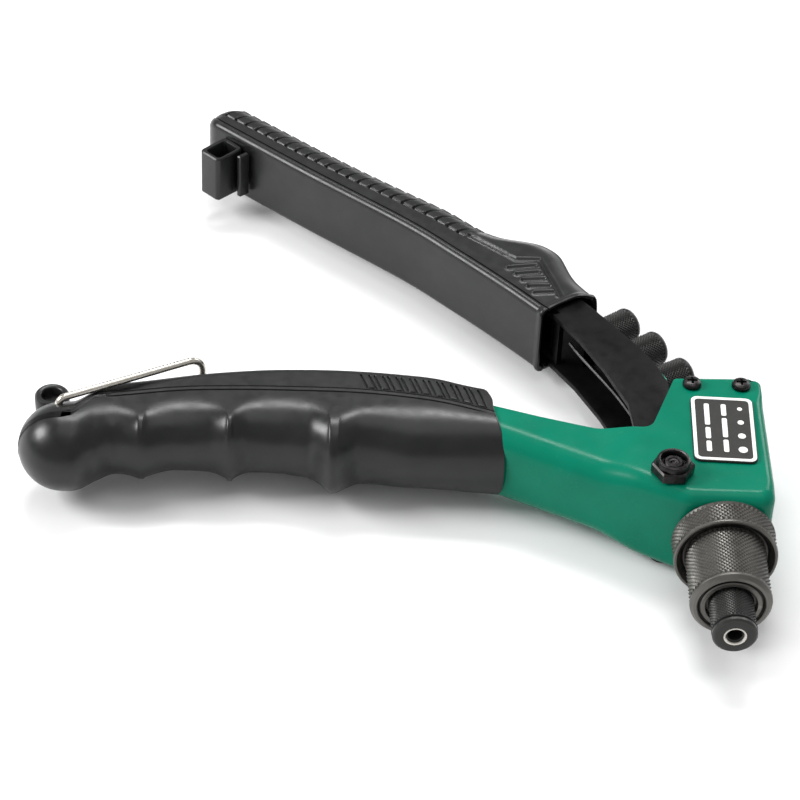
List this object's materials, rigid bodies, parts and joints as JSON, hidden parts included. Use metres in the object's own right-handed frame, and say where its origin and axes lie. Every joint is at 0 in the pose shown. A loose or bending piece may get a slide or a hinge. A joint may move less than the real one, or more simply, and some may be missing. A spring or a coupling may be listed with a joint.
{
  "type": "hand riveter",
  "caption": "Squeeze-handled blind riveter: a pivoting lever pulls sprung jaws back through a knurled nose; spare nosepieces ride on the lever and a wire bail locks the handles.",
  "frame": {"origin": "middle of the tool's footprint, on the plane of its lowest point, with the tool lying on its side", "axes": "+Z is parallel to the lever's pivot axis; the nose points along -Y; the handles run towards -X"},
  "size_m": [0.221, 0.2376, 0.0374],
  "materials": {
    "green_paint": "glossy green enamel over bent sheet steel",
    "label_grey": "satin dark grey plate with a pale printed border",
    "black_plastic": "moulded matt black",
    "black_oxide": "blackened steel, satin, some parts knurled",
    "bright_steel": "bright machined steel",
    "dark_steel": "hardened dark steel",
    "black_paint": "satin black paint over pressed steel",
    "black_grip": "moulded black plastic, soft gloss",
    "mint_plastic": "moulded mint green",
    "bright_wire": "nickel plated spring wire"
  },
  "bodies": {
    "body": {"body_shell": "green_paint", "label_plate": "label_grey", "rear_cover": "black_plastic", "cover_screw_upper_1": "black_oxide", "cover_screw_upper_2": "black_oxide", "cover_screw_lower_1": "black_oxide", "cover_screw_lower_2": "black_oxide", "pivot_bolt": "black_oxide", "pivot_nut": "black_oxide", "pivot_washer_upper": "bright_steel", "pivot_washer_lower": "bright_steel", "mandrel_tube": "bright_steel", "nose_nut_plate": "dark_steel", "fixed_grip": "black_grip"},
    "lever": {"lever_channel": "black_paint", "lever_grip": "black_grip", "holder_strip": "mint_plastic", "pivot_bush": "bright_steel", "return_spring": "bright_steel"},
    "carriage": {"jaw_case": "dark_steel", "pull_rod": "dark_steel", "case_lock_ring": "dark_steel", "pusher_spring": "bright_steel"},
    "jaws": {"jaw_1": "dark_steel", "jaw_2": "dark_steel", "jaw_3": "dark_steel", "jaw_pusher": "bright_steel"},
    "bail": {"wire_bail": "bright_wire"},
    "collar": {"collar_ring": "black_oxide"},
    "sleeve": {"front_sleeve": "black_oxide"},
    "nose": {"nosepiece": "black_oxide"},
    "spare_1": {"spare_nosepiece_1": "black_oxide"},
    "spare_2": {"spare_nosepiece_2": "black_oxide"},
    "spare_3": {"spare_nosepiece_3": "black_oxide"}
  },
  "joints": [
    {"name": "lever_swing", "type": "hinge", "parent": "body", "child": "lever", "pos_m": [0.08, -0.06803, 0.0172], "axis": [0, 0, 1], "range_deg": [0, 32], "stiffness_Nm_per_rad": 0.5, "springref_deg": -20.05},
    {"name": "carriage_pull", "type": "slide", "parent": "body", "child": "carriage", "axis": [0, 1, 0], "range_m": [0, 0.0092]},
    {"name": "jaw_close", "type": "slide", "parent": "carriage", "child": "jaws", "axis": [0, -1, 0], "range_m": [0, 0.00125]},
    {"name": "bail_swing", "type": "hinge", "parent": "body", "child": "bail", "pos_m": [-0.0988, -0.04253, 0.0172], "axis": [0, 0, 1], "range_deg": [0, 116]},
    {"name": "collar_turn", "type": "hinge", "parent": "body", "child": "collar", "pos_m": [0.0955, -0.08323, 0.0172], "axis": [0, 1, 0], "continuous": true},
    {"name": "sleeve_turn", "type": "hinge", "parent": "body", "child": "sleeve", "pos_m": [0.0955, -0.09853, 0.0172], "axis": [0, 1, 0], "continuous": true},
    {"name": "nosepiece_turn", "type": "hinge", "parent": "sleeve", "child": "nose", "pos_m": [0.0955, -0.11253, 0.0172], "axis": [0, 1, 0], "continuous": true},
    {"name": "spare_1_turn", "type": "hinge", "parent": "lever", "child": "spare_1", "pos_m": [0.06959, 0.01589, 0.0172], "axis": [0.7986, 0.6018, 0], "continuous": true},
    {"name": "spare_2_turn", "type": "hinge", "parent": "lever", "child": "spare_2", "pos_m": [0.07753, 0.00485, 0.0172], "axis": [0.829, 0.5592, 0], "continuous": true},
    {"name": "spare_3_turn", "type": "hinge", "parent": "lever", "child": "spare_3", "pos_m": [0.08506, -0.00751, 0.0172], "axis": [0.8572, 0.515, 0], "continuous": true}
  ],
  "couplings": [
    {"joint": "carriage_pull", "follows": "lever_swing", "m_per_rad": 0.01626},
    {"joint": "jaw_close", "follows": "lever_swing", "m_per_rad": 0.00215}
  ]
}
